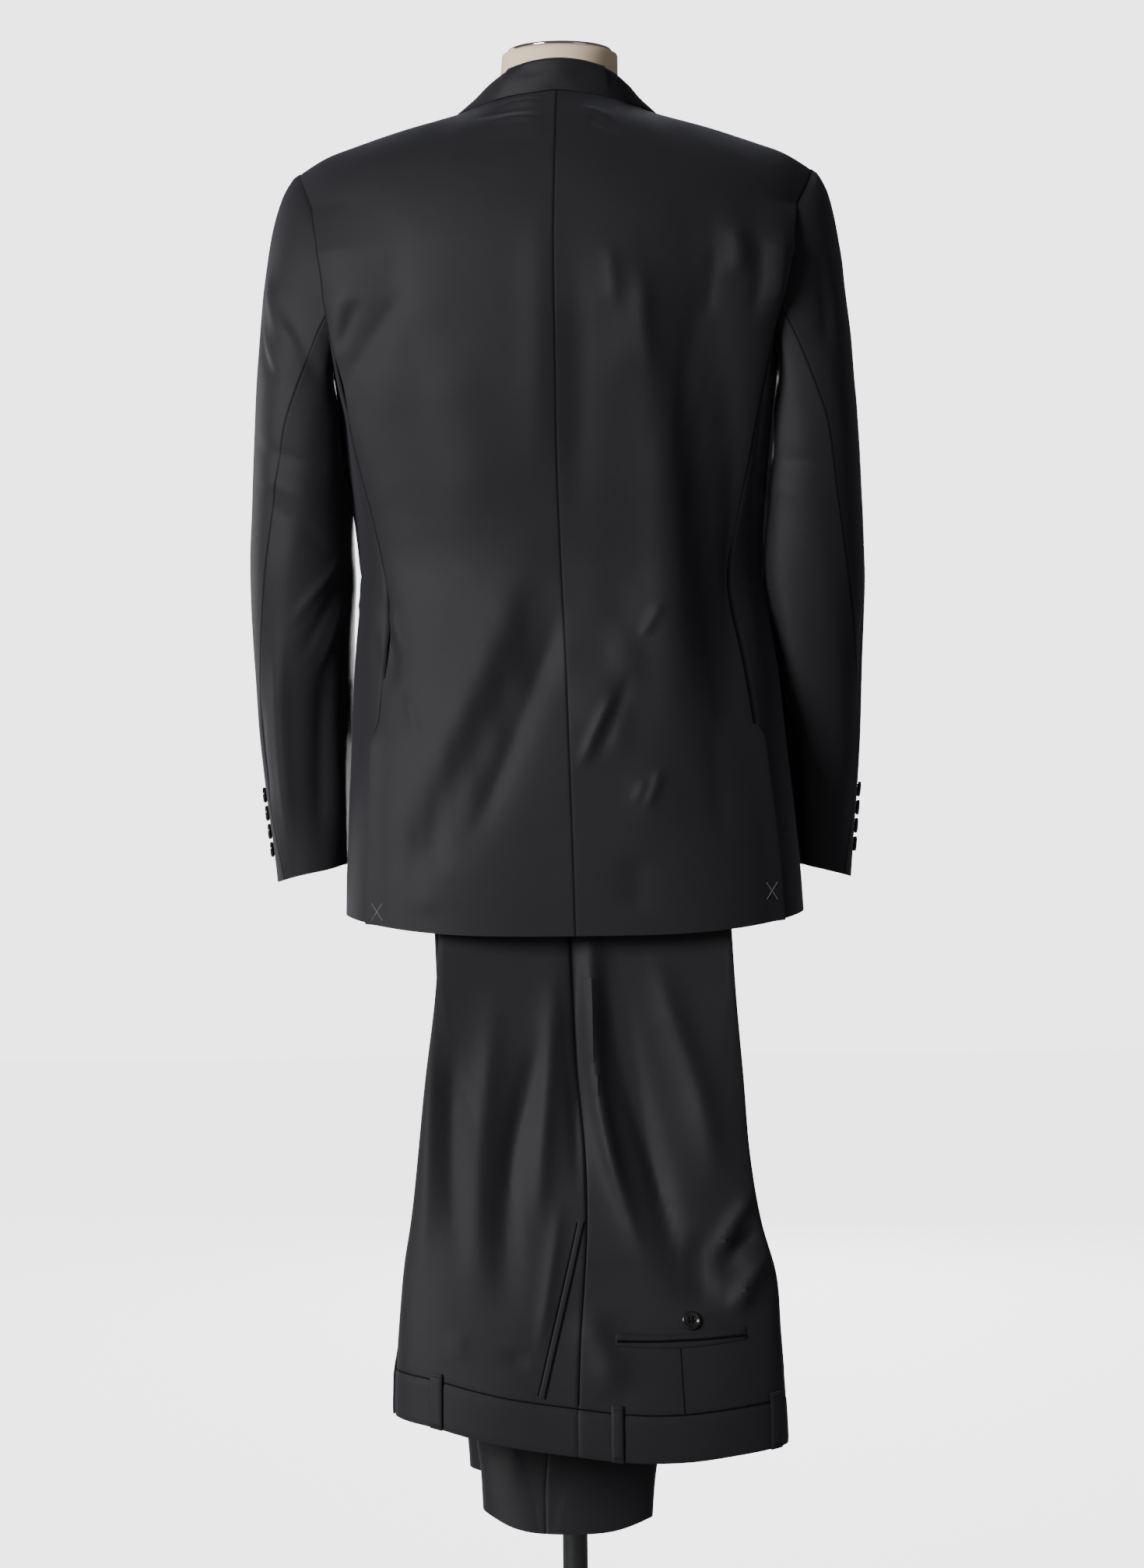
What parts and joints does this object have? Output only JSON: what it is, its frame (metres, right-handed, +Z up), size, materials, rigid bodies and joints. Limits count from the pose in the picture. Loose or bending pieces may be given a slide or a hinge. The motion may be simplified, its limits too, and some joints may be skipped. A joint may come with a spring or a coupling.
{
  "type": "business suit on dress form stand",
  "caption": "Dark wool business suit: a notch-lapel jacket on a dress form stand, its trousers folded over a bar below.",
  "frame": {"origin": "on the floor under the middle of the pole, at the underside of the base plate", "axes": "+Z up along the pole, +Y towards the suit's front, +X towards the wearer's right; the suit's back faces -Y"},
  "size_m": [0.5661, 0.3828, 1.6005],
  "materials": {
    "back_button_left": "glossy",
    "back_button_right": "glossy",
    "back_left": "matt worsted wool",
    "back_right": "matt worsted wool",
    "back_welt_left": "matt worsted wool",
    "back_welt_right": "matt worsted wool",
    "base_plate": "satin black",
    "belt_loop_left_1": "matt worsted wool",
    "belt_loop_left_2": "matt worsted wool",
    "belt_loop_left_3": "matt worsted wool",
    "belt_loop_right_1": "matt worsted wool",
    "belt_loop_right_2": "matt worsted wool",
    "belt_loop_right_3": "matt worsted wool",
    "breast_welt": "matt worsted wool",
    "collar": "matt worsted wool",
    "cuff_button_left_1": "glossy",
    "cuff_button_left_2": "glossy",
    "cuff_button_left_3": "glossy",
    "cuff_button_left_4": "glossy",
    "cuff_button_right_1": "glossy",
    "cuff_button_right_2": "glossy",
    "cuff_button_right_3": "glossy",
    "cuff_button_right_4": "glossy",
    "flap_left": "matt worsted wool",
    "flap_right": "matt worsted wool",
    "fly": "matt worsted wool",
    "form_bust": "linen over a padded form",
    "front_button_low": "glossy",
    "front_button_top": "glossy",
    "front_left": "matt worsted wool",
    "front_right": "matt worsted wool",
    "lapel_left": "matt worsted wool",
    "lapel_right": "matt worsted wool",
    "neck_ring": "polished",
    "pole": "satin black",
    "side_left": "matt worsted wool",
    "side_pocket_left": "matt worsted wool",
    "side_pocket_right": "matt worsted wool",
    "side_right": "matt worsted wool",
    "sleeve_top_left": "matt worsted wool",
    "sleeve_top_right": "matt worsted wool",
    "sleeve_under_left": "matt worsted wool",
    "sleeve_under_right": "matt worsted wool",
    "trouser_back_left": "matt worsted wool",
    "trouser_back_right": "matt worsted wool",
    "trouser_bar": "satin black",
    "trouser_front_left": "matt worsted wool",
    "trouser_front_right": "matt worsted wool",
    "waistband_left": "matt worsted wool",
    "waistband_right": "matt worsted wool"
  },
  "bodies": {
    "root": {"back_button_left": "back_button_left", "back_button_right": "back_button_right", "back_left": "back_left", "back_right": "back_right", "back_welt_left": "back_welt_left", "back_welt_right": "back_welt_right", "base_plate": "base_plate", "belt_loop_left_1": "belt_loop_left_1", "belt_loop_left_2": "belt_loop_left_2", "belt_loop_left_3": "belt_loop_left_3", "belt_loop_right_1": "belt_loop_right_1", "belt_loop_right_2": "belt_loop_right_2", "belt_loop_right_3": "belt_loop_right_3", "breast_welt": "breast_welt", "collar": "collar", "cuff_button_left_1": "cuff_button_left_1", "cuff_button_left_2": "cuff_button_left_2", "cuff_button_left_3": "cuff_button_left_3", "cuff_button_left_4": "cuff_button_left_4", "cuff_button_right_1": "cuff_button_right_1", "cuff_button_right_2": "cuff_button_right_2", "cuff_button_right_3": "cuff_button_right_3", "cuff_button_right_4": "cuff_button_right_4", "flap_left": "flap_left", "flap_right": "flap_right", "fly": "fly", "form_bust": "form_bust", "front_button_low": "front_button_low", "front_button_top": "front_button_top", "front_left": "front_left", "front_right": "front_right", "lapel_left": "lapel_left", "lapel_right": "lapel_right", "neck_ring": "neck_ring", "pole": "pole", "side_left": "side_left", "side_pocket_left": "side_pocket_left", "side_pocket_right": "side_pocket_right", "side_right": "side_right", "sleeve_top_left": "sleeve_top_left", "sleeve_top_right": "sleeve_top_right", "sleeve_under_left": "sleeve_under_left", "sleeve_under_right": "sleeve_under_right", "trouser_back_left": "trouser_back_left", "trouser_back_right": "trouser_back_right", "trouser_bar": "trouser_bar", "trouser_front_left": "trouser_front_left", "trouser_front_right": "trouser_front_right", "waistband_left": "waistband_left", "waistband_right": "waistband_right"}
  },
  "joints": []
}
